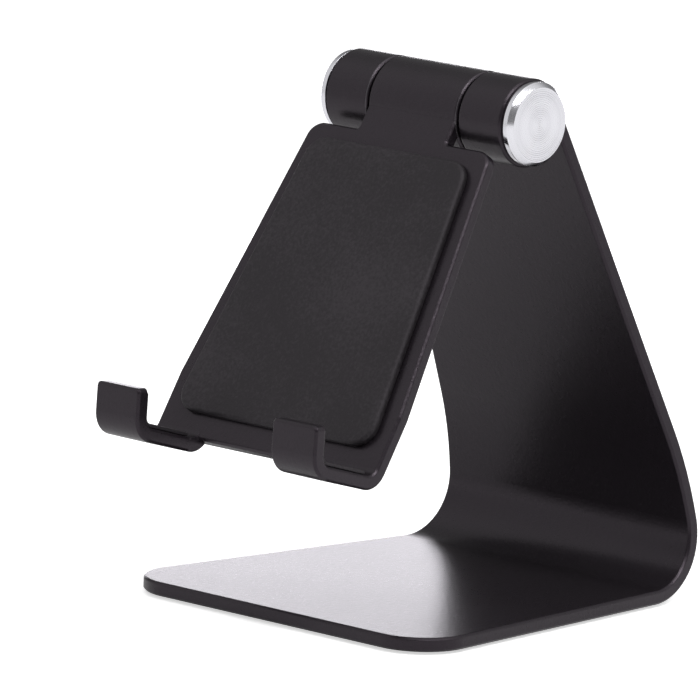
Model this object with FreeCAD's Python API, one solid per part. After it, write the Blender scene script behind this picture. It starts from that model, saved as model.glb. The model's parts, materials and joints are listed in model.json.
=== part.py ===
# Desk phone stand: a bent foot and arm, a hooked cradle and the clamped friction hinge between them.
# Millimetres. X runs along the hinge, Y from front to back and Z up.
# The origin is the middle of the pad that the foot rests on.
import FreeCAD, Part
import math
import os
from FreeCAD import Vector

# Sheet that the stand and the cradle are folded from
sheet_t = 2.5
edge_break = 0.4          # chamfer on the edges of the sheet

# Foot, bend and arm of the stand
foot_w = 74.8             # across the front edge, before its corners are rounded
foot_len = 66.0           # flat part, front edge to bend
foot_corner_r = 9.5
bend_r = 9.35             # inside radius of the bend
bend_deg = 100.3
sweep_r = 67.4            # inside radius of the gentle sweep above the bend
sweep_deg = 13.65
arm_len = 65.6            # straight arm, from the sweep to the level of the hinge axis

# Hinge barrel: two outer knuckles on the arm, the middle one on the cradle
barrel_d = 15.6
barrel_len = 42.8
knuckle_len = 10.4        # each outer knuckle, with the groove at its end
knuckle_chamfer = 0.35
end_groove_w = 0.45       # between an outer knuckle and its cap
end_groove_depth = 0.3
barrel_proud = 0.2        # barrel beyond the outer face of the arm
barrel_lap = 0.1          # barrel end beyond the side of the arm at the hinge level
counterbore_d = 11.2
counterbore_depth = 7.0
notch_gap = 1.0           # arm below the middle knuckle, and cradle shoulder below the outer ones

# Cradle
cradle_lean = 31.25       # degrees from upright
cradle_set_back = 1.25    # front face of the cradle behind the front of the barrel
cradle_reach = 70.25      # hinge axis level to the inside corner of the hooks
cradle_w = 53.3           # across the hooks
strip_len = 10.0          # straight sides above the hooks
shoulder_r = 3.0
neck_r = 0.6
hook_w = 10.6
hook_depth = 12.8         # between the inside corners of a hook
hook_fold_deg = 74.3
hook_fold_r = 2.0         # inside radius
lip_fold_deg = 77.4
lip_fold_r = 2.0          # inside radius
lip_height = 6.8          # above the inside corner
lip_corner_r = 0.9

# Hinge hardware
bolt_d = 5.0
bolt_head_d = 8.5
bolt_head_h = 3.0
bolt_socket_af = 3.0
bolt_socket_depth = 1.8
washer_d = 10.0
washer_t = 1.0
spring_d = 10.4
spring_t = 0.5
spring_rise = 0.3         # height of the cone
nut_af = 8.0
nut_h = 2.7
nut_chamfer = 0.4
disc_d = 13.0
disc_t = 0.4
bush_d = 7.4
bush_len = 8.0
cap_d = 14.8
cap_t = 1.8
cap_chamfer = 0.85
cap_spigot_len = 1.2

# Pads
base_pad_t = 1.3
base_pad_recess = 0.8
base_pad_margin = 6.0
base_pad_r = 8.0
cradle_pad_t = 1.6
cradle_pad_margin = 3.0
cradle_pad_r = 4.0
hook_pad_t = 0.8
hook_pad_margin = 0.8

# Clearances
hole_clear = 0.15         # bolt in the outer knuckles, washers and springs, on the radius
run_clear = 0.05          # bolt in the bushes, on the radius
seat_clear = 0.02         # caps, bushes, nut and pads in their seats
disc_clear = 0.03         # each side of a friction disc

bend_stations = 9
sweep_stations = 4
over = 1.0                # how far a cutting shape passes the face that it cuts
near = 1e-6


def unit(deg):
    return Vector(0, math.cos(math.radians(deg)), math.sin(math.radians(deg)))


def across(x):
    return Vector(x, 0, 0)


# A folded sheet is walked along its inside face. side is +1 where the folds turn left and -1 where
# they turn right, seen from +X.
def run_end(point, heading, length):
    return point + unit(heading) * length


def fold_point(point, heading, side, radius, turn, offset):
    centre = point + unit(heading + side * 90) * radius
    return centre + unit(heading + side * (turn - 90)) * (radius + offset)


# Closed section of a folded sheet, from steps of ("run", length) or ("fold", inside radius, degrees)
def folded_section(point, heading, side, steps, thick):
    inner = []
    outer = []
    ends = [(point, point + unit(heading - side * 90) * thick)]
    for step in steps:
        out = unit(heading - side * 90) * thick
        if step[0] == "run":
            end = run_end(point, heading, step[1])
            inner.append(Part.LineSegment(point, end).toShape())
            outer.append(Part.LineSegment(point + out, end + out).toShape())
        else:
            radius, turn = step[1:]
            for edges, offset in ((inner, 0.0), (outer, thick)):
                turns = (0, turn / 2, turn)
                arc = [fold_point(point, heading, side, radius, gone, offset) for gone in turns]
                edges.append(Part.Arc(*arc).toShape())
            end = fold_point(point, heading, side, radius, turn, 0.0)
            heading = heading + side * turn
        point = end
    ends.append((point, point + unit(heading - side * 90) * thick))
    caps = [Part.LineSegment(a, b).toShape() for a, b in ends]
    return Part.Face(Part.Wire(Part.__sortEdges__(inner + outer + caps)))


def extruded(face, x0, x1):
    moved = face.copy()
    moved.translate(across(x0))
    return moved.extrude(across(x1 - x0))


def prism(points, direction):
    return Part.Face(Part.makePolygon(points + points[:1])).extrude(direction)


# Edges of a shape that run along a direction, through one of the given points
def edges_along(shape, direction, points):
    found = []
    for edge in shape.Edges:
        ends = [v.Point for v in edge.Vertexes]
        if len(ends) == 2 and (ends[1] - ends[0]).cross(direction).Length < near:
            for p in points:
                if (p - ends[0]).cross(direction).Length < near * direction.Length:
                    found.append(edge)
    return found


# Edges longer than the sheet is thick, where two faces meet about square
def square_edges(shape):
    found = []
    for edge in shape.Edges:
        faces = shape.ancestorsOfType(edge, Part.Face)
        if len(faces) == 2 and edge.Length > sheet_t + edge_break:
            middle = edge.valueAt((edge.FirstParameter + edge.LastParameter) / 2)
            a, b = [face.normalAt(*face.Surface.parameter(middle)) for face in faces]
            if abs(a.dot(b)) < math.cos(math.radians(60)):
                found.append(edge)
    return found


def rounded_prism(points, direction, radius):
    solid = prism(points, direction)
    return solid.makeFillet(radius, edges_along(solid, direction, points))


# A piece turned about the hinge axis, from (place along X, radius) corners
def turned(corners):
    points = [hinge + Vector(x, 0, r) for x, r in corners]
    face = Part.Face(Part.makePolygon(points + points[:1]))
    return face.revolve(hinge, Vector(1, 0, 0), 360)


def ring(x0, x1, r_in, r_out):
    return turned([(x0, r_in), (x1, r_in), (x1, r_out), (x0, r_out)])


def mirrored(shape):
    return shape.mirror(Vector(0, 0, 0), Vector(1, 0, 0))


def hex_bar(x0, x1, flats):
    corner_r = flats / math.sqrt(3)
    points = [hinge + across(x0) + unit(60 * k) * corner_r for k in range(6)]
    return prism(points, across(x1 - x0))


# Stand: levels, the walk up its sheet and the hinge axis at the top of the arm
base_z = base_pad_t - base_pad_recess
foot_top_z = base_z + sheet_t
front_y = -foot_len / 2
back_y = foot_len / 2
bend_start = Vector(0, back_y, foot_top_z)
sweep_start = fold_point(bend_start, 0, 1, bend_r, bend_deg, 0.0)
arm_start = fold_point(sweep_start, bend_deg, 1, sweep_r, sweep_deg, 0.0)
arm_deg = bend_deg + sweep_deg
arm_end = run_end(arm_start, arm_deg, arm_len)
bend_len = math.radians(bend_deg) * (bend_r + sheet_t / 2)
sweep_len = math.radians(sweep_deg) * (sweep_r + sheet_t / 2)
stand_len = foot_len + bend_len + sweep_len + arm_len
barrel_half = barrel_len / 2
side_angle = math.atan2(foot_w / 2 - (barrel_half - barrel_lap), stand_len)   # how far each side leans in
barrel_r = barrel_d / 2
hinge = arm_end + unit(arm_deg + 90) * (barrel_r - barrel_proud - sheet_t)

# Hinge: places along the barrel
knuckle_in = barrel_half - knuckle_len
middle_half = knuckle_in - disc_t - 2 * disc_clear
web_x = barrel_half - counterbore_depth                # floor of a counterbore
bolt_hole_r = bolt_d / 2 + hole_clear
shoulder = barrel_r + notch_gap

# Cradle: directions down its sheet and out from its front face, and the walk round a hook
down_deg = 270 - cradle_lean
floor_deg = down_deg - hook_fold_deg
lip_deg = floor_deg - lip_fold_deg
down = unit(down_deg)
front = unit(down_deg - 90)
cradle_top = hinge + front * (barrel_r - cradle_set_back)
gap_half = cradle_w / 2 - hook_w
hook_setback = hook_fold_r * math.tan(math.radians(hook_fold_deg / 2))
lip_setback = lip_fold_r * math.tan(math.radians(lip_fold_deg / 2))
cradle_bottom = cradle_reach - hook_setback            # where the hooks start to fold
floor_run = hook_depth - hook_setback - lip_setback
lip_run = lip_height - lip_setback
hook_start = cradle_top + down * cradle_bottom
floor_start = fold_point(hook_start, down_deg, -1, hook_fold_r, hook_fold_deg, 0.0)
floor_end = run_end(floor_start, floor_deg, floor_run)
lip_start = fold_point(floor_end, floor_deg, -1, lip_fold_r, lip_fold_deg, 0.0)
lip_top = run_end(lip_start, lip_deg, lip_run)


# Half width of the stand at a length along the middle of its sheet
def half_width(length):
    return foot_w / 2 - math.tan(side_angle) * length


# Outline of the stand's sheet square to its run, at one place along it, with its broken edges
def sheet_outline(point, heading, length):
    out = unit(heading - 90)
    half = half_width(length)
    inset = half - edge_break / math.cos(side_angle)
    right = [(inset, 0), (half, edge_break), (half, sheet_t - edge_break), (inset, sheet_t)]
    left = [(-x, t) for x, t in right[::-1]]
    corners = [point + across(x) + out * t for x, t in right + left]
    return Part.makePolygon(corners + corners[:1])


# Sheet of one fold of the stand, its sides drawing in evenly round the fold
def tapered_fold(point, heading, radius, turn, length, stations):
    outlines = []
    for k in range(stations):
        part = turn * k / (stations - 1)
        gone = math.radians(part) * (radius + sheet_t / 2)
        place = fold_point(point, heading, 1, radius, part, 0.0)
        outlines.append(sheet_outline(place, heading + part, length + gone))
    return Part.makeLoft(outlines, True, False)


# Pad under the foot, or the recess for it, from a level upwards
def base_pad_solid(z, height, inset):
    margin = base_pad_margin + inset
    y0 = front_y + margin
    y1 = back_y - margin
    half0 = half_width(margin) - margin
    half1 = half_width(foot_len - margin) - margin
    corners = [Vector(-half0, y0, z), Vector(half0, y0, z), Vector(half1, y1, z), Vector(-half1, y1, z)]
    return rounded_prism(corners, Vector(0, 0, height), base_pad_r)


def stand_sheet():
    front_half = across(half_width(0))
    back_half = across(half_width(foot_len))
    front_mid = Vector(0, front_y, base_z)
    back_mid = Vector(0, back_y, base_z)
    corners = [front_mid - front_half, front_mid + front_half]
    foot = prism(corners + [back_mid + back_half, back_mid - back_half], Vector(0, 0, sheet_t))
    foot = foot.makeFillet(foot_corner_r, edges_along(foot, Vector(0, 0, 1), corners))
    rim = [edge for edge in square_edges(foot) if edge.CenterOfMass.y < back_y - near]
    foot = foot.makeChamfer(edge_break, rim)
    bend = tapered_fold(bend_start, 0, bend_r, bend_deg, foot_len, bend_stations)
    sweep = tapered_fold(sweep_start, bend_deg, sweep_r, sweep_deg, foot_len + bend_len, sweep_stations)
    low_end = sheet_outline(arm_start, arm_deg, stand_len - arm_len)
    high_end = sheet_outline(arm_end, arm_deg, stand_len)
    return foot.multiFuse([bend, sweep, Part.makeLoft([low_end, high_end], True, True)])


def stand_plate():
    plate = stand_sheet().cut(base_pad_solid(base_z, base_pad_recess, 0.0))
    # The arm is open round the middle knuckle and carries the outer ones
    along = unit(arm_deg)
    out = unit(arm_deg - 90)
    notch = [
        arm_end + along * over - out * over,
        arm_end + along * over + out * (sheet_t + over),
        arm_end - along * shoulder + out * (sheet_t + over),
        arm_end - along * shoulder - out * over,
    ]
    plate = plate.cut(prism([p - across(knuckle_in) for p in notch], across(2 * knuckle_in)))
    groove_x = barrel_half - end_groove_w
    groove_r = barrel_r - knuckle_chamfer - end_groove_depth
    knuckle = turned([
        (knuckle_in, bolt_hole_r),
        (barrel_half, bolt_hole_r),
        (barrel_half, groove_r),
        (groove_x, groove_r),
        (groove_x, barrel_r - knuckle_chamfer),
        (groove_x - knuckle_chamfer, barrel_r),
        (knuckle_in + knuckle_chamfer, barrel_r),
        (knuckle_in, barrel_r - knuckle_chamfer),
    ])
    plate = plate.multiFuse([knuckle, mirrored(knuckle)])
    bore = ring(knuckle_in - over, web_x + over, 0, bolt_hole_r)
    counterbore = ring(web_x, barrel_half + over, 0, counterbore_d / 2)
    cap_seat = ring(barrel_half, barrel_half + cap_t, 0, barrel_r)
    for tool in (bore, counterbore, cap_seat):
        plate = plate.cut(tool)
        plate = plate.cut(mirrored(tool))
    return plate.removeSplitter()


# Point on the front face of the cradle's sheet, x across and d down from the hinge level
def on_cradle(x, d):
    return cradle_top + across(x) + down * d


def cradle_depth(edge):
    return (edge.CenterOfMass - cradle_top).dot(down)


# Half width of the cradle's sheet below its shoulders
def cradle_half_width(d):
    slope = (cradle_w / 2 - barrel_half) / (cradle_bottom - strip_len - shoulder)
    return min(barrel_half + slope * (d - shoulder), cradle_w / 2)


def cradle_sheet():
    right = [
        on_cradle(middle_half, 0),
        on_cradle(middle_half, shoulder),
        on_cradle(barrel_half, shoulder),
        on_cradle(cradle_w / 2, cradle_bottom - strip_len),
        on_cradle(cradle_w / 2, cradle_bottom),
    ]
    left = [Vector(-p.x, p.y, p.z) for p in right]
    sheet = prism(right + left[::-1], front * -sheet_t)
    sheet = sheet.makeFillet(neck_r, edges_along(sheet, front, [right[1], left[1]]))
    sheet = sheet.makeFillet(shoulder_r, edges_along(sheet, front, [right[2], left[2]]))
    edges = square_edges(sheet)
    rim = [edge for edge in edges if shoulder - near < cradle_depth(edge) < cradle_bottom - near]
    return sheet.makeChamfer(edge_break, rim)


# Lower edge between the hooks, at the level of their floors
def cradle_apron():
    top = cradle_bottom - edge_break
    corners = [on_cradle(-gap_half, top), on_cradle(gap_half, top)]
    corners += [on_cradle(gap_half, cradle_reach), on_cradle(-gap_half, cradle_reach)]
    apron = prism(corners, front * -sheet_t)
    rim = [edge for edge in square_edges(apron) if cradle_depth(edge) > cradle_reach - near]
    return apron.makeChamfer(edge_break, rim)


# The fold meets the sheet beside it squarely, so only its outer side is broken there
def hook():
    side = cradle_w / 2
    fold = [("fold", hook_fold_r, hook_fold_deg)]
    bent = extruded(folded_section(hook_start, down_deg, -1, fold, sheet_t), gap_half, side)
    arcs = [edge for edge in bent.Edges if isinstance(edge.Curve, Part.Circle)]
    bent = bent.makeChamfer(edge_break, [edge for edge in arcs if edge.CenterOfMass.x > side - near])
    steps = [
        ("run", floor_run),
        ("fold", lip_fold_r, lip_fold_deg),
        ("run", lip_run),
    ]
    strip = extruded(folded_section(floor_start, floor_deg, -1, steps, sheet_t), gap_half, side)
    tips = [lip_top + across(x) for x in (gap_half, side)]
    strip = strip.makeFillet(lip_corner_r, edges_along(strip, unit(lip_deg + 90), tips))
    ahead = unit(floor_deg)
    rim = [edge for edge in square_edges(strip) if (edge.CenterOfMass - floor_start).dot(ahead) > near]
    return bent.fuse(strip.makeChamfer(edge_break, rim))


def cradle_plate():
    knuckle = turned([
        (-middle_half, bolt_hole_r),
        (middle_half, bolt_hole_r),
        (middle_half, barrel_r - knuckle_chamfer),
        (middle_half - knuckle_chamfer, barrel_r),
        (-middle_half + knuckle_chamfer, barrel_r),
        (-middle_half, barrel_r - knuckle_chamfer),
    ])
    plate = cradle_sheet().multiFuse([cradle_apron(), hook(), mirrored(hook()), knuckle])
    bore = ring(-middle_half - over, middle_half + over, 0, bolt_hole_r)
    bush_seat = ring(middle_half - bush_len, middle_half + over, 0, bush_d / 2)
    for tool in (bore, bush_seat, mirrored(bush_seat)):
        plate = plate.cut(tool)
    return plate.removeSplitter()


# Rubber lining of one hook: its floor and the inside of its lip
def hook_pad():
    steps = [
        ("run", floor_run),
        ("fold", lip_fold_r - hook_pad_t, lip_fold_deg),
        ("run", lip_run - lip_corner_r),
    ]
    start = floor_start + unit(floor_deg - 90) * hook_pad_t
    section = folded_section(start, floor_deg, -1, steps, hook_pad_t)
    return extruded(section, gap_half + hook_pad_margin, cradle_w / 2 - hook_pad_margin)


def cradle_pad():
    top = shoulder + cradle_pad_margin
    bottom = cradle_bottom - cradle_pad_margin
    top_half = cradle_half_width(top) - cradle_pad_margin
    bottom_half = cradle_half_width(bottom) - cradle_pad_margin
    corners = [on_cradle(-top_half, top), on_cradle(top_half, top)]
    corners += [on_cradle(bottom_half, bottom), on_cradle(-bottom_half, bottom)]
    return rounded_prism(corners, front * cradle_pad_t, cradle_pad_r)


# The bolt head seats on its washer in the left counterbore; the nut clamps the springs in the right one
def bolt_washer():
    return ring(-web_x - washer_t, -web_x, bolt_hole_r, washer_d / 2)


spring_mid = web_x + spring_t + spring_rise + seat_clear / 2
spring_end = 2 * spring_mid - web_x
nut_x = spring_end + washer_t


def disc_springs():
    first = turned([
        (web_x, spring_d / 2),
        (web_x + spring_t, spring_d / 2),
        (web_x + spring_t + spring_rise, bolt_hole_r),
        (web_x + spring_rise, bolt_hole_r),
    ])
    return Part.makeCompound([first, first.mirror(Vector(spring_mid, 0, 0), Vector(1, 0, 0))])


def nut_washer():
    return ring(spring_end, spring_end + washer_t, bolt_hole_r, washer_d / 2)


def hinge_nut():
    corner_r = nut_af / math.sqrt(3)
    blank = turned([
        (nut_x, 0),
        (nut_x + nut_h, 0),
        (nut_x + nut_h, corner_r - nut_chamfer),
        (nut_x + nut_h - nut_chamfer, corner_r),
        (nut_x + nut_chamfer, corner_r),
        (nut_x, corner_r - nut_chamfer),
    ])
    nut = hex_bar(nut_x, nut_x + nut_h, nut_af).common(blank)
    return nut.cut(ring(nut_x - over, nut_x + nut_h + over, 0, bolt_d / 2 + seat_clear))


def hinge_bolt():
    seat_x = -web_x - washer_t
    head_x = seat_x - bolt_head_h
    tip_x = barrel_half - cap_spigot_len - hole_clear
    bolt = turned([
        (head_x, 0),
        (head_x, bolt_head_d / 2),
        (seat_x, bolt_head_d / 2),
        (seat_x, bolt_d / 2),
        (tip_x, bolt_d / 2),
        (tip_x, 0),
    ])
    return bolt.cut(hex_bar(head_x - over, head_x + bolt_socket_depth, bolt_socket_af))


def friction_disc():
    return ring(middle_half + disc_clear, knuckle_in - disc_clear, bolt_hole_r, disc_d / 2)


def bush():
    return ring(middle_half - bush_len, middle_half, bolt_d / 2 + run_clear, bush_d / 2 - seat_clear)


def end_cap():
    spigot_r = counterbore_d / 2 - seat_clear
    return turned([
        (barrel_half - cap_spigot_len, 0),
        (barrel_half - cap_spigot_len, spigot_r),
        (barrel_half, spigot_r),
        (barrel_half, cap_d / 2),
        (barrel_half + cap_t - cap_chamfer, cap_d / 2),
        (barrel_half + cap_t, cap_d / 2 - cap_chamfer),
        (barrel_half + cap_t, 0),
    ])


parts = {
    "stand_plate": stand_plate(),
    "base_pad": base_pad_solid(0, base_pad_t, seat_clear),
    "cradle_plate": cradle_plate(),
    "cradle_pad": cradle_pad(),
    "left_hook_pad": mirrored(hook_pad()),
    "right_hook_pad": hook_pad(),
    "hinge_bolt": hinge_bolt(),
    "bolt_washer": bolt_washer(),
    "disc_springs": disc_springs(),
    "nut_washer": nut_washer(),
    "hinge_nut": hinge_nut(),
    "left_friction_disc": mirrored(friction_disc()),
    "right_friction_disc": friction_disc(),
    "left_bush": mirrored(bush()),
    "right_bush": bush(),
    "left_end_cap": mirrored(end_cap()),
    "right_end_cap": end_cap(),
}

os.makedirs("parts", exist_ok=True)
for name, shape in parts.items():
    shape.exportStep("parts/%s.step" % name)
    print("%-20s volume %9.1f  valid %s" % (name, shape.Volume, shape.isValid()))
print("hinge axis at y %.3f z %.3f" % (hinge.y, hinge.z))
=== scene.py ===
import json
import math
import bpy
import numpy as np
from mathutils import Matrix


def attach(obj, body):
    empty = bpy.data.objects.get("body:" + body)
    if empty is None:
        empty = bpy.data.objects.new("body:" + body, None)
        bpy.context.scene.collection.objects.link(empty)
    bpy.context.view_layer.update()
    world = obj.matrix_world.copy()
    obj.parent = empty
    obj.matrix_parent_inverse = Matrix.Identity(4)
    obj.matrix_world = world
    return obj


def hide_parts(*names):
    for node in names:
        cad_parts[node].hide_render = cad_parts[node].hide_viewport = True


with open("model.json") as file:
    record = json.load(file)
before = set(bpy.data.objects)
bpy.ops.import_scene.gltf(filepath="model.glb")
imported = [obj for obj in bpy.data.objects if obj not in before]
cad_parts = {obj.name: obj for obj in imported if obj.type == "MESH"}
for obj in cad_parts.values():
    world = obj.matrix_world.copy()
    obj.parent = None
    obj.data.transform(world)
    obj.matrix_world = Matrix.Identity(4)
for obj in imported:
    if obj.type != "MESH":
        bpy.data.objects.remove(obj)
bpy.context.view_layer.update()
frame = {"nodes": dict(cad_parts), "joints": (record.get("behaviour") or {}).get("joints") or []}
nodes = frame["nodes"]
hinge = np.array(frame["joints"][0]["pos_m"])
mm = 0.001
print("frame loaded:", len(nodes), "nodes")


# A socket, so that shader maths reads as plain expressions
class Value:
    def __init__(self, finish, socket):
        self.finish = finish
        self.socket = socket

    def __add__(self, other):
        return self.finish.maths("ADD", self, other)

    def __radd__(self, other):
        return self.finish.maths("ADD", other, self)

    def __sub__(self, other):
        return self.finish.maths("SUBTRACT", self, other)

    def __rsub__(self, other):
        return self.finish.maths("SUBTRACT", other, self)

    def __mul__(self, other):
        return self.finish.maths("MULTIPLY", self, other)

    def __rmul__(self, other):
        return self.finish.maths("MULTIPLY", other, self)


# A node tree with one way to add nodes, for the materials and the world
class Finish:
    def __init__(self, owner):
        owner.use_nodes = True
        self.owner = owner
        self.tree = owner.node_tree
        self.tree.nodes.clear()

    # kind of node, settings first, then sockets by name or number; gives back one output
    def add(self, kind, settings=None, sockets=None, out=0):
        node = self.tree.nodes.new(kind)
        for name, value in (settings or {}).items():
            setattr(node, name, value)
        for name, value in (sockets or {}).items():
            if isinstance(value, Value):
                self.tree.links.new(value.socket, node.inputs[name])
            else:
                node.inputs[name].default_value = value
        if node.outputs:
            return Value(self, node.outputs[out])

    def maths(self, operation, *values):
        return self.add("ShaderNodeMath", {"operation": operation}, dict(enumerate(values)))

    def place(self):
        return self.add("ShaderNodeTexCoord", out="Object")

    def stretched(self, vector, scale):
        return self.add("ShaderNodeVectorMath", {"operation": "MULTIPLY"}, {0: vector, 1: scale})

    def axes(self, vector):
        node = self.add("ShaderNodeSeparateXYZ", sockets={0: vector}).socket.node
        return [Value(self, socket) for socket in node.outputs]

    # cloudy noise; size is the width of a lump in metres, and a light and a dark lump fill a cell
    def noise(self, vector, size, detail=2.0, rough=0.5):
        sockets = {"Vector": vector, "Scale": 1 / (2 * size), "Detail": detail, "Roughness": rough}
        return self.add("ShaderNodeTexNoise", {"noise_dimensions": "3D"}, sockets)

    # a noise's swing about its middle, width from its lowest to its highest
    def swing(self, noise, width):
        return width * (noise - 0.5)

    def mean(self, one, other):
        return one * 0.5 + other * 0.5

    # smooth step of a value from 0 at low to 1 at high
    def step(self, value, low, high):
        sockets = {0: value, 1: low, 2: high, 3: 0.0, 4: 1.0}
        return self.add("ShaderNodeMapRange", {"interpolation_type": "SMOOTHSTEP"}, sockets)

    # mix of two colours, which are sockets 6 and 7 of the node
    def mixed(self, factor, low, high):
        low, high = [c if isinstance(c, Value) else (*c, 1) for c in (low, high)]
        sockets = {0: factor, 6: low, 7: high}
        return self.add("ShaderNodeMix", {"data_type": "RGBA"}, sockets, out=2)

    # relief of a height from 0 to 1, depth in metres
    def relief(self, height, depth, under=None):
        sockets = {"Strength": 1.0, "Distance": depth, "Height": height}
        if under:
            sockets["Normal"] = under
        return self.add("ShaderNodeBump", sockets=sockets)

    # the surface itself: fixed values stay on the shader's own sockets
    def surface(self, **sockets):
        named = {name.replace("_", " "): value for name, value in sockets.items()}
        shader = self.add("ShaderNodeBsdfPrincipled", sockets=named)
        self.add("ShaderNodeOutputMaterial", sockets={"Surface": shader})
        return self.owner


def newFinish(name):
    return Finish(bpy.data.materials.new(name))


# Place along the hinge line, and distance from it
def fromHinge(finish):
    x, y, z = finish.axes(finish.place())
    y = y - float(hinge[1])
    z = z - float(hinge[2])
    return x, finish.maths("SQRT", y * y + z * z)


# Black anodised sheet: blasted before dyeing, so fine pits and grain under a slow drift of tone and
# gloss, with its chamfers shaded as soft edges. The knuckles' end edges, seamAt from the middle of
# the hinge line and from edgeR to barrelR away from it, carry a painted highlight: a paler colour
# painted on, with lower roughness, uneven with the drift.
anodised = dict(deep=(0.0092, 0.0074, 0.0094), pale=(0.0130, 0.0106, 0.0132),
                driftShare=0.40, pitShare=0.35, grainShare=0.25, toneRange=(0.32, 0.68),
                rough=0.29, driftRough=0.025, pitRough=0.08, ior=1.42, tint=(1.0, 0.86, 1.0, 1.0),
                driftSize=18 * mm, pitSize=0.13 * mm, pitDepth=0.0045 * mm, grainSize=0.40 * mm,
                grainDepth=0.0320 * mm, edgeSoft=0.35 * mm, edgeSamples=6,
                # the painted highlight on the knuckles' end edges: its paler colour, its roughness
                # and its fade by the drift
                wearAndSheen=(0.075, 0.071, 0.077), wearAndSheenRough=0.24, sheenRange=(0.25, 0.55),
                seamAt=10.8 * mm, seamFade=(0.45 * mm, 0.60 * mm), edgeR=7.62 * mm,
                edgeFade=0.06 * mm, barrelR=7.8 * mm, barrelFade=(0.02 * mm, 0.05 * mm))


def blackAnodised():
    look = anodised
    finish = newFinish("blackAnodised")
    place = finish.place()
    drift = finish.noise(place, look["driftSize"])
    pits = finish.noise(place, look["pitSize"], detail=1.0)
    grain = finish.noise(place, look["grainSize"], rough=0.6)
    tone = drift * look["driftShare"] + pits * look["pitShare"] + grain * look["grainShare"]
    tone = finish.step(tone, *look["toneRange"])
    rough = look["rough"] + finish.swing(drift, look["driftRough"])
    rough = rough + finish.swing(pits, look["pitRough"])
    softEdge = finish.add("ShaderNodeBevel", {"samples": look["edgeSamples"]},
                          {"Radius": look["edgeSoft"]})
    blasted = finish.relief(grain, look["grainDepth"], softEdge)
    blasted = finish.relief(pits, look["pitDepth"], blasted)
    x, radius = fromHinge(finish)
    besideSeam = finish.maths("ABSOLUTE", finish.maths("ABSOLUTE", x) - look["seamAt"])
    edge = finish.step(radius, look["edgeR"] - look["edgeFade"], look["edgeR"] + look["edgeFade"])
    outside = finish.step(radius, *[look["barrelR"] + fade for fade in look["barrelFade"]])
    # Painted highlight: a paler colour on the knuckles' end edges beside the seams, where those
    # chamfers catch the light, faded in and out by the drift
    wearAndSheen = edge * (1 - outside) * (1 - finish.step(besideSeam, *look["seamFade"]))
    wearAndSheen = wearAndSheen * finish.step(drift, *look["sheenRange"])
    colour = finish.mixed(wearAndSheen, finish.mixed(tone, look["deep"], look["pale"]), look["wearAndSheen"])
    rough = rough + wearAndSheen * (look["wearAndSheenRough"] - look["rough"])
    return finish.surface(Base_Color=colour, Roughness=rough, Normal=blasted, IOR=look["ior"],
                          Specular_Tint=look["tint"], Metallic=0.0)


# Turned aluminium: tool marks run round the hinge line, so they are read by the distance from it
# and along it, alike on both caps
turnedMetal = dict(bright=(0.845, 0.84, 0.885), dull=(0.755, 0.75, 0.795), toneRange=(0.3, 0.7),
                   rough=0.19, bandRough=0.08, markRough=0.06, bandSize=0.8 * mm,
                   markSize=0.09 * mm, markDepth=0.0016 * mm)


def turnedAluminium():
    look = turnedMetal
    finish = newFinish("turnedAluminium")
    x, radius = fromHinge(finish)
    along = finish.add("ShaderNodeCombineXYZ", sockets={0: radius, 1: finish.maths("ABSOLUTE", x)})
    marks = finish.noise(along, look["markSize"], detail=3.0, rough=0.6)
    bands = finish.noise(along, look["bandSize"])
    rough = look["rough"] + finish.swing(bands, look["bandRough"])
    rough = rough + finish.swing(marks, look["markRough"])
    tone = finish.step(finish.mean(bands, marks), *look["toneRange"])
    colour = finish.mixed(tone, look["dull"], look["bright"])
    return finish.surface(Base_Color=colour, Roughness=rough,
                          Normal=finish.relief(marks, look["markDepth"]), Metallic=1.0)


# Black moulded rubber: matt, with the fine texture of a spark-cut mould and a little dust
rubber = dict(deep=(0.0092, 0.0080, 0.0093), dusty=(0.0256, 0.0226, 0.0258),
              dustRange=(0.40, 0.68), rough=0.60, cloudRough=0.14, mouldRough=0.10, ior=1.45,
              tint=(1.0, 0.92, 1.0, 1.0), cloudSize=9 * mm, mouldSize=0.30 * mm,
              mouldDepth=0.045 * mm)


def blackRubber():
    look = rubber
    finish = newFinish("blackRubber")
    place = finish.place()
    mould = finish.noise(place, look["mouldSize"], rough=0.6)
    cloud = finish.noise(place, look["cloudSize"], detail=3.0)
    dust = finish.step(finish.mean(mould, cloud), *look["dustRange"])
    rough = look["rough"] + finish.swing(cloud, look["cloudRough"])
    rough = rough + finish.swing(mould, look["mouldRough"])
    colour = finish.mixed(dust, look["deep"], look["dusty"])
    return finish.surface(Base_Color=colour, Roughness=rough,
                          Normal=finish.relief(mould, look["mouldDepth"]), IOR=look["ior"],
                          Specular_Tint=look["tint"])


# Zinc plated steel of the hinge hardware: pale, slightly yellow in patches, with fine tool marks
zinc = dict(pale=(0.60, 0.61, 0.62), yellow=(0.55, 0.52, 0.44), yellowRange=(0.4, 0.75),
            rough=0.30, patchRough=0.22, markRough=0.10, patchSize=1.6 * mm, markSize=0.5 * mm,
            markStretch=(6.0, 1.0, 1.0), markDepth=0.004 * mm)


def zincSteel():
    look = zinc
    finish = newFinish("zincSteel")
    place = finish.place()
    patches = finish.noise(place, look["patchSize"], detail=4.0, rough=0.6)
    drawn = finish.stretched(place, look["markStretch"])
    marks = finish.noise(drawn, look["markSize"], detail=3.0)
    rough = look["rough"] + finish.swing(patches, look["patchRough"])
    rough = rough + finish.swing(marks, look["markRough"])
    yellowed = finish.step(patches, *look["yellowRange"])
    colour = finish.mixed(yellowed, look["pale"], look["yellow"])
    return finish.surface(Base_Color=colour, Roughness=rough,
                          Normal=finish.relief(marks, look["markDepth"]), Metallic=1.0)


# Bearing plastic of the bushes and friction discs: dark grey with pale filler flecks
bearing = dict(grey=(0.022, 0.022, 0.024), fleck=(0.085, 0.083, 0.080), fleckRange=(0.58, 0.72),
               rough=0.46, wearAndSheenRough=0.16, ior=1.45, fleckSize=0.12 * mm, fleckDepth=0.004 * mm,
               wornSize=2.5 * mm)


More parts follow.
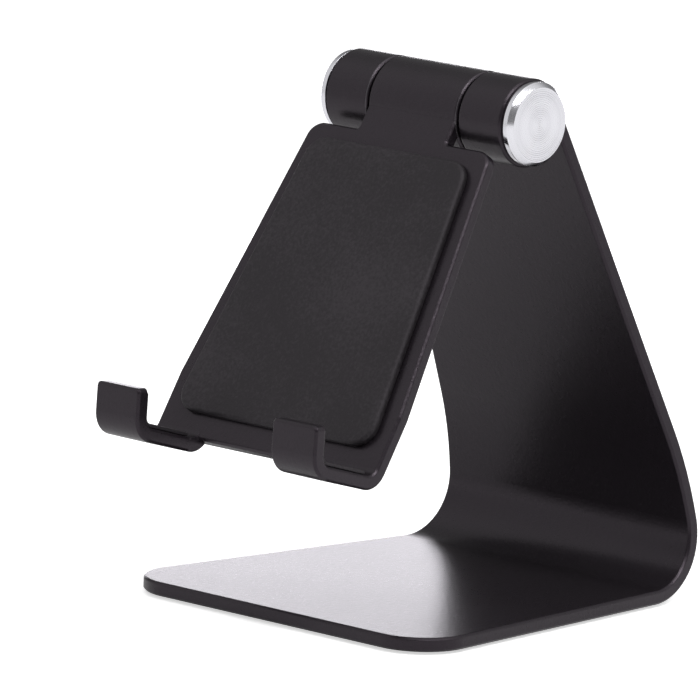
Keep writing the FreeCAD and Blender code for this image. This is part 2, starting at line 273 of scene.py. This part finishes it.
def bearingPlastic():
    look = bearing
    finish = newFinish("bearingPlastic")
    place = finish.place()
    flecks = finish.noise(place, look["fleckSize"])
    wearAndSheen = finish.noise(place, look["wornSize"], detail=3.0)
    flecked = finish.step(flecks, *look["fleckRange"])
    colour = finish.mixed(flecked, look["grey"], look["fleck"])
    rough = look["rough"] + finish.swing(wearAndSheen, look["wearAndSheenRough"])
    return finish.surface(Base_Color=colour, Roughness=rough,
                          Normal=finish.relief(flecks, look["fleckDepth"]), IOR=look["ior"])


finishes = dict(black_anodised=blackAnodised(), bright_aluminium=turnedAluminium(),
                black_rubber=blackRubber(), steel=zincSteel(), bearing_plastic=bearingPlastic())
wears = dict(black_anodised=["stand_plate", "cradle_plate"],
             bright_aluminium=["left_end_cap", "right_end_cap"],
             black_rubber=["base_pad", "cradle_pad", "left_hook_pad", "right_hook_pad"],
             steel=["hinge_bolt", "bolt_washer", "disc_springs", "nut_washer", "hinge_nut"],
             bearing_plastic=["left_friction_disc", "right_friction_disc", "left_bush",
                              "right_bush"])
for slotName, members in wears.items():
    for member in members:
        mesh = nodes[member].data
        mesh.materials.clear()
        mesh.materials.append(finishes[slotName])
print("finishes:", len(finishes))


# A new object, linked into the scene
def put(name, data):
    thing = bpy.data.objects.new(name, data)
    bpy.context.scene.collection.objects.link(thing)
    return thing


# A closed skin over rings of points, rows by around by xyz: quads from ring to ring, and a fan from
# the middle of the first and of the last ring. The faces are turned outwards by the sign of the
# volume that they enclose.
def skin(name, rings):
    rows, around = rings.shape[:2]
    points = np.concatenate([rings.reshape(-1, 3), rings[[0, -1]].mean(1)])
    here = np.arange(around)
    after = (here + 1) % around
    first = (np.arange(rows - 1) * around)[:, None]
    quads = np.stack([first + here, first + after, first + around + after, first + around + here],
                     -1).reshape(-1, 4)
    last = (rows - 1) * around
    fans = np.concatenate([np.stack([0 * here + rows * around, after, here], -1),
                           np.stack([0 * here + rows * around + 1, last + here, last + after], -1)])
    corners = points[np.concatenate([quads[:, [0, 1, 2]], quads[:, [0, 2, 3]], fans])]
    if np.einsum("ij,ij->", corners[:, 0], np.cross(corners[:, 1], corners[:, 2])) < 0:
        quads = quads[:, ::-1]
        fans = fans[:, ::-1]
    mesh = bpy.data.meshes.new(name)
    mesh.from_pydata(points.tolist(), [], quads.tolist() + fans.tolist())
    mesh.polygons.foreach_set("use_smooth", np.ones(len(mesh.polygons), bool))
    return put(name, mesh)


# A new piece takes a node's place: it goes under its body, wears the finish for slotName, and the
# node is hidden
def stands(piece, node, body, slotName):
    piece.data.materials.append(finishes[slotName])
    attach(piece, body)
    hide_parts(node)


# Corners of an open line softened: each becomes a quadratic curve from soft before it to soft after
def softened(line, soft, steps=5):
    line = np.array(line, float)
    middle, before, after = line[1:-1], line[:-2] - line[1:-1], line[2:] - line[1:-1]
    start = middle + soft * before / np.linalg.norm(before, axis=1, keepdims=True)
    end = middle + soft * after / np.linalg.norm(after, axis=1, keepdims=True)
    t = np.linspace(0, 1, steps)[:, None, None]
    curves = (1 - t) ** 2 * start + 2 * t * (1 - t) * middle + t ** 2 * end
    return np.concatenate([line[:1], curves.transpose(1, 0, 2).reshape(-1, 2), line[-1:]])


# End caps: spigot, rim, chamfer and face in mm from the middle of the barrel. A flat land lies
# inside the chamfer, and shallow turned grooves run from grooveFrom inside it to the middle.
caps = dict(seat=21.4, spigotLen=1.2, spigotR=5.58, rimR=7.4, thick=1.8, chamfer=0.85, soft=0.07,
            land=0.3, grooveFrom=0.32, pitch=0.36, groove=0.0080, backR=0.05, middleR=0.02,
            faceRows=200, around=180)


# Surface of revolution: the profile (x, r) is turned about the hinge line, and on the face x also
# follows groove * (cos(2 pi r / pitch) - 1)
def makeCap(name, node, side):
    seat, spigotR, rimR = caps["seat"], caps["spigotR"], caps["rimR"]
    back = seat - caps["spigotLen"]
    face = seat + caps["thick"]
    flatR = rimR - caps["chamfer"]
    line = [(back, caps["backR"]), (back, spigotR), (seat, spigotR), (seat, rimR),
            (face - caps["chamfer"], rimR), (face, flatR), (face, flatR - caps["land"])]
    outer = softened(line, caps["soft"])
    r = np.linspace(flatR - caps["grooveFrom"], caps["middleR"], caps["faceRows"])
    wave = np.cos(2 * math.pi * r / caps["pitch"]) - 1
    turnedFace = np.stack([face + caps["groove"] * wave, r], 1)
    x, r = np.concatenate([outer, turnedFace]).T * mm
    angle = np.linspace(0, 2 * math.pi, caps["around"], endpoint=False)
    rings = np.stack([side * x[:, None] + 0 * angle, hinge[1] + r[:, None] * np.cos(angle),
                      hinge[2] + r[:, None] * np.sin(angle)], -1)
    stands(skin(name, rings), node, "stand", "bright_aluminium")


# Outline of a convex polygon drawn in by inset, each corner an arc: the corner arcs keep their
# centres, and their radius is what the inset leaves
def drawnIn(polygon, radius, inset, steps=10):
    polygon = np.array(polygon, float)
    edge = np.roll(polygon, -1, 0) - polygon
    out = np.stack([edge[:, 1], -edge[:, 0]], 1) / np.linalg.norm(edge, axis=1, keepdims=True)
    reach = (out * polygon).sum(1) - radius
    pair = np.stack([np.roll(out, 1, 0), out], 1)
    centre = np.linalg.solve(pair, np.stack([np.roll(reach, 1), reach], 1)[..., None])[..., 0]
    start = np.arctan2(pair[:, 0, 1], pair[:, 0, 0])
    turn = (np.arctan2(pair[:, 1, 1], pair[:, 1, 0]) - start) % (2 * math.pi)
    angle = start[:, None] + turn[:, None] * np.linspace(0, 1, steps)
    arc = centre[:, None] + (radius - inset) * np.stack([np.cos(angle), np.sin(angle)], -1)
    return arc.reshape(-1, 2)


# What the moulded pads share: how the back edge draws in and rises, in mm, the rows of the roll,
# and the rows of the crown with the share of the outline that they start and end at
padForm = dict(backInset=(0.25, 0.08, 0.0), backRise=(0.0, 0.06, 0.20), rollRows=8, crownRows=24,
               crownFrom=0.97, crownTo=0.02)


# Moulded pad: its outline rises from the back edge, rolls over a quarter round of radius soft and
# closes to the middle under a low crown, height = thick - crown * share squared. axes are the two
# ways across and the way out.
def padRings(polygon, radius, thick, soft, crown, origin, axes):
    roll = np.linspace(0, math.pi / 2, padForm["rollRows"])
    insets = np.concatenate([padForm["backInset"], soft * (1 - np.cos(roll))])
    heights = np.concatenate([padForm["backRise"], thick - crown - soft * (1 - np.sin(roll))])
    rim = np.stack([drawnIn(polygon, radius, inset) for inset in insets])
    share = np.linspace(padForm["crownFrom"], padForm["crownTo"], padForm["crownRows"])
    middle = rim[-1].mean(0)
    flat = np.concatenate([rim, middle + share[:, None, None] * (rim[-1] - middle)])
    heights = np.concatenate([heights, thick - crown * share ** 2])
    heights = np.broadcast_to(heights[:, None, None], (*flat.shape[:2], 1))
    return np.array(origin) + np.concatenate([flat, heights], -1) @ np.array(axes) * mm


# The way at an angle in the plane across the hinge line, from +Y towards +Z
def yz(degrees):
    return np.array([0.0, math.cos(math.radians(degrees)), math.sin(math.radians(degrees))])


# Cradle: lean of its sheet, how far its front face is from the hinge line, and its pad, in mm down
# from that line
cradle = dict(lean=31.25, faceR=6.55, padTop=11.8, padBottom=65.73, padTopHalf=18.71,
              padBottomHalf=23.65, padCorner=4.0, padThick=1.6, padSoft=0.75, padCrown=0.12)
down = yz(270 - cradle["lean"])
front = yz(180 - cradle["lean"])
cradleTop = hinge + front * cradle["faceR"] * mm


def makeCradlePad():
    top, bottom = cradle["padTop"], cradle["padBottom"]
    topHalf, bottomHalf = cradle["padTopHalf"], cradle["padBottomHalf"]
    polygon = [(-topHalf, top), (topHalf, top), (bottomHalf, bottom), (-bottomHalf, bottom)]
    rings = padRings(polygon, cradle["padCorner"], cradle["padThick"], cradle["padSoft"],
                     cradle["padCrown"], cradleTop, [(1, 0, 0), down, front])
    stands(skin("cradlePad", rings), "cradle_pad", "cradle", "black_rubber")


# Foot pad, let into the underside: half widths at its front and back, and half its length, in mm
footPad = dict(frontHalf=30.80, backHalf=25.58, halfLen=26.98, corner=8.0, thick=1.3, soft=0.4,
               crown=0.0)


def makeFootPad():
    frontHalf, backHalf, halfLen = footPad["frontHalf"], footPad["backHalf"], footPad["halfLen"]
    polygon = [(-frontHalf, -halfLen), (frontHalf, -halfLen), (backHalf, halfLen),
               (-backHalf, halfLen)]
    rings = padRings(polygon, footPad["corner"], footPad["thick"], footPad["soft"],
                     footPad["crown"], (0, 0, footPad["thick"] * mm),
                     [(1, 0, 0), (0, 1, 0), (0, 0, -1)])
    stands(skin("footPad", rings), "base_pad", "stand", "black_rubber")


# Hook linings: a rounded strip carried along the floor of a hook, round its fold and up its lip, in
# mm and degrees. It closes in over endRun at both ends, down to tip of its section.
lining = dict(start=68.735, foldR=2.0, fold=74.3, floorRun=9.682, lipR=2.0, lipFold=77.4,
              lipRun=4.298, thick=0.8, half=4.5, middleX=21.35, soft=0.3, squareness=7,
              endRun=0.3, endRows=(0.0, 0.02, 0.06, 0.12, 0.2), tip=0.02, steps=90, around=64)


# The heading is the floor's, then turns evenly with the length of the arc, then is the lip's; the
# path is its running sum. The section is a rounded oblong, with n its squareness:
# |x / half|^n + |t / (thick/2)|^n = 1.
def makeLining(name, node, side):
    hookStart = cradleTop + down * lining["start"] * mm
    headDown = 270 - cradle["lean"]
    headFloor = headDown - lining["fold"]
    centre = hookStart + yz(headDown - 90) * lining["foldR"] * mm
    floorStart = centre + yz(headFloor + 90) * lining["foldR"] * mm
    arcR = lining["lipR"] - lining["thick"] / 2
    arcLen = math.radians(lining["lipFold"]) * arcR
    length = lining["floorRun"] + arcLen + lining["lipRun"]
    endRun, endRows = lining["endRun"], np.array(lining["endRows"])
    run = np.concatenate([endRows, np.linspace(endRun, length - endRun, lining["steps"]),
                          length - endRows[::-1]])
    turned = np.clip((run - lining["floorRun"]) / arcLen, 0, 1) * lining["lipFold"]
    heading = np.radians(headFloor - turned)
    along = np.stack([0 * run, np.cos(heading), np.sin(heading)], 1)
    inward = np.stack([0 * run, np.sin(heading), -np.cos(heading)], 1)
    step = np.diff(run)[:, None] * (along[1:] + along[:-1]) / 2
    path = np.concatenate([np.zeros((1, 3)), np.cumsum(step, 0)])
    path = floorStart + (path + inward[0] * lining["thick"] / 2) * mm
    ends = np.minimum(np.minimum(run, length - run) / endRun, 1)
    close = np.sqrt(1 - (1 - ends) ** 2) * (1 - lining["tip"]) + lining["tip"]
    angle = np.linspace(0, 2 * math.pi, lining["around"], endpoint=False)
    power = 2 / lining["squareness"]
    waves = np.cos(angle), np.sin(angle)
    across, rise = [np.sign(wave) * np.abs(wave) ** power for wave in waves]
    wide = (lining["half"] - lining["soft"] * (1 - close))[:, None] * across
    high = (lining["thick"] / 2 * close)[:, None] * rise
    rings = path[:, None] + high[..., None] * inward[:, None] * mm
    rings[..., 0] += (side * lining["middleX"] + wide) * mm
    stands(skin(name, rings), node, "cradle", "black_rubber")


makeCap("leftCap", "left_end_cap", -1)
makeCap("rightCap", "right_end_cap", 1)
makeCradlePad()
makeFootPad()
makeLining("leftLining", "left_hook_pad", -1)
makeLining("rightLining", "right_hook_pad", 1)
print("pieces: 2 caps, 2 pads, 2 linings")


# 1 for the camera's own rays, and 1 for rays by way of a mirror or glass; both are 0 for rays that
# light the object
def raysSeen(finish):
    path = finish.add("ShaderNodeLightPath").socket.node.outputs
    names = ("Is Camera Ray", "Is Glossy Ray", "Is Transmission Ray")
    camera, glossy, through = [Value(finish, path[name]) for name in names]
    return camera, finish.maths("MAXIMUM", glossy, through)


# Floor: a flat grid a hair under the foot pad, lifted to white for the camera and a little in
# reflections, with the shadow kept by its diffuse part
floorSet = dict(reach=4.0, rows=9, drop=0.05 * mm, colour=(0.86, 0.86, 0.86, 1), lift=0.60,
                mirrorLift=0.10)


def makeFloor():
    rows = floorSet["rows"]
    across = np.linspace(-1, 1, rows) * floorSet["reach"]
    u, v = np.meshgrid(across, across, indexing="ij")
    points = np.stack([u, v, 0 * u - floorSet["drop"]], -1).reshape(-1, 3)
    cell = np.arange(rows - 1)
    corner = (cell[:, None] * rows + cell).reshape(-1, 1)
    mesh = bpy.data.meshes.new("floor")
    mesh.from_pydata(points.tolist(), [], (corner + [0, rows, rows + 1, 1]).tolist())
    floor = put("floor", mesh)
    finish = newFinish("paleFloor")
    camera, mirrored = raysSeen(finish)
    diffuse = finish.add("ShaderNodeBsdfDiffuse", sockets={"Color": floorSet["colour"]})
    strength = camera * floorSet["lift"] + mirrored * floorSet["mirrorLift"]
    glow = finish.add("ShaderNodeEmission", sockets={"Strength": strength})
    both = finish.add("ShaderNodeAddShader", sockets={0: diffuse, 1: glow})
    finish.add("ShaderNodeOutputMaterial", sockets={"Surface": both})
    mesh.materials.append(finish.owner)


# Room: white to the camera, and an even light on the object. In the metal it shows as a low white
# wall behind, paler sides, and dim above the wall and by the camera. The fades are read along
# behind, from -1 at the camera's side to 1 at the wall's, and wallTop and ceiling by height.
room = dict(light=0.54, dim=0.20, sides=0.72, behind=(-0.68, 0.72, 0.0), wallFade=(0.0, 0.5),
            wallTop=0.02, ceiling=0.14, sidesStart=(-0.90, -0.40), sidesEnd=(0.20, 0.80))


def makeRoom():
    world = bpy.data.worlds.new("room")
    bpy.context.scene.world = world
    finish = Finish(world)
    camera, mirrored = raysSeen(finish)
    direction = finish.add("ShaderNodeTexCoord", out="Generated")
    ahead = finish.add("ShaderNodeVectorMath", {"operation": "DOT_PRODUCT"},
                       {0: direction, 1: room["behind"]}, out="Value")
    height = finish.axes(direction)[2]
    above = finish.step(height, room["wallTop"], room["ceiling"])
    wall = finish.step(ahead, *room["wallFade"]) * (1 - above)
    sides = finish.step(ahead, *room["sidesStart"]) * (1 - finish.step(ahead, *room["sidesEnd"]))
    pale = room["dim"] + (room["sides"] - room["dim"]) * sides
    around = pale + (1 - pale) * wall
    strength = camera + mirrored * around + (1 - camera - mirrored) * room["light"]
    shade = finish.add("ShaderNodeBackground",
                       sockets={"Color": (1, 1, 1, 1), "Strength": strength})
    finish.add("ShaderNodeOutputWorld", sockets={"Surface": shade})


def unit(vector):
    return vector / np.linalg.norm(vector)


# The matrix of an object at a place, with its own x, y and z along three ways
def placed(at, ways):
    turn = np.eye(4)
    turn[:3, :3] = np.stack(ways, 1)
    turn[:3, 3] = at
    return Matrix(turn.tolist())


# Soft lamps: width and height in metres, watts, place and colour, each turned to face aim, the
# middle of the stand
aim = (0, 0, 0.045)
lamps = dict(overhead=dict(size=(1.5, 1.5), power=3.9, at=(0.20, -0.42, 1.6),
                           colour=(1.0, 1.0, 1.0)),
             backPanel=dict(size=(0.36, 0.10), power=0.43, at=(-0.274, 0.291, 0.076),
                            colour=(0.968, 0.946, 1.0)),
             rightStrip=dict(size=(1.7, 0.26), power=14.0, at=(1.05, -0.05, 1.37),
                             colour=(1.0, 1.0, 1.0)))


def makeLamps():
    for name, lamp in lamps.items():
        light = bpy.data.lights.new(name, "AREA")
        light.shape = "RECTANGLE"
        light.size, light.size_y = lamp["size"]
        light.energy = lamp["power"]
        light.color = lamp["colour"]
        back = unit(np.array(lamp["at"]) - aim)
        side = unit(np.cross((0, 0, 1), back))
        put(name, light).matrix_world = placed(lamp["at"], [side, np.cross(back, side), back])


# Camera: the photograph's long lens, from the right and a little above
view = dict(at=(1.19370, -1.26246, 0.35650), right=(0.71784, 0.69538, 0.03411),
            down=(0.14716, -0.10366, -0.98367), lens=519.8, sensor=36)


def makeCamera():
    data = bpy.data.cameras.new("camera")
    data.lens = view["lens"]
    data.sensor_width = view["sensor"]
    right = unit(np.array(view["right"]))
    up = -np.array(view["down"])
    up = unit(up - right * up.dot(right))
    camera = put("camera", data)
    camera.matrix_world = placed(view["at"], [right, up, np.cross(right, up)])
    bpy.context.scene.camera = camera


makeFloor()
makeRoom()
makeLamps()
makeCamera()
bpy.context.scene.view_settings.view_transform = "Standard"
print("stage, lamps and camera set")
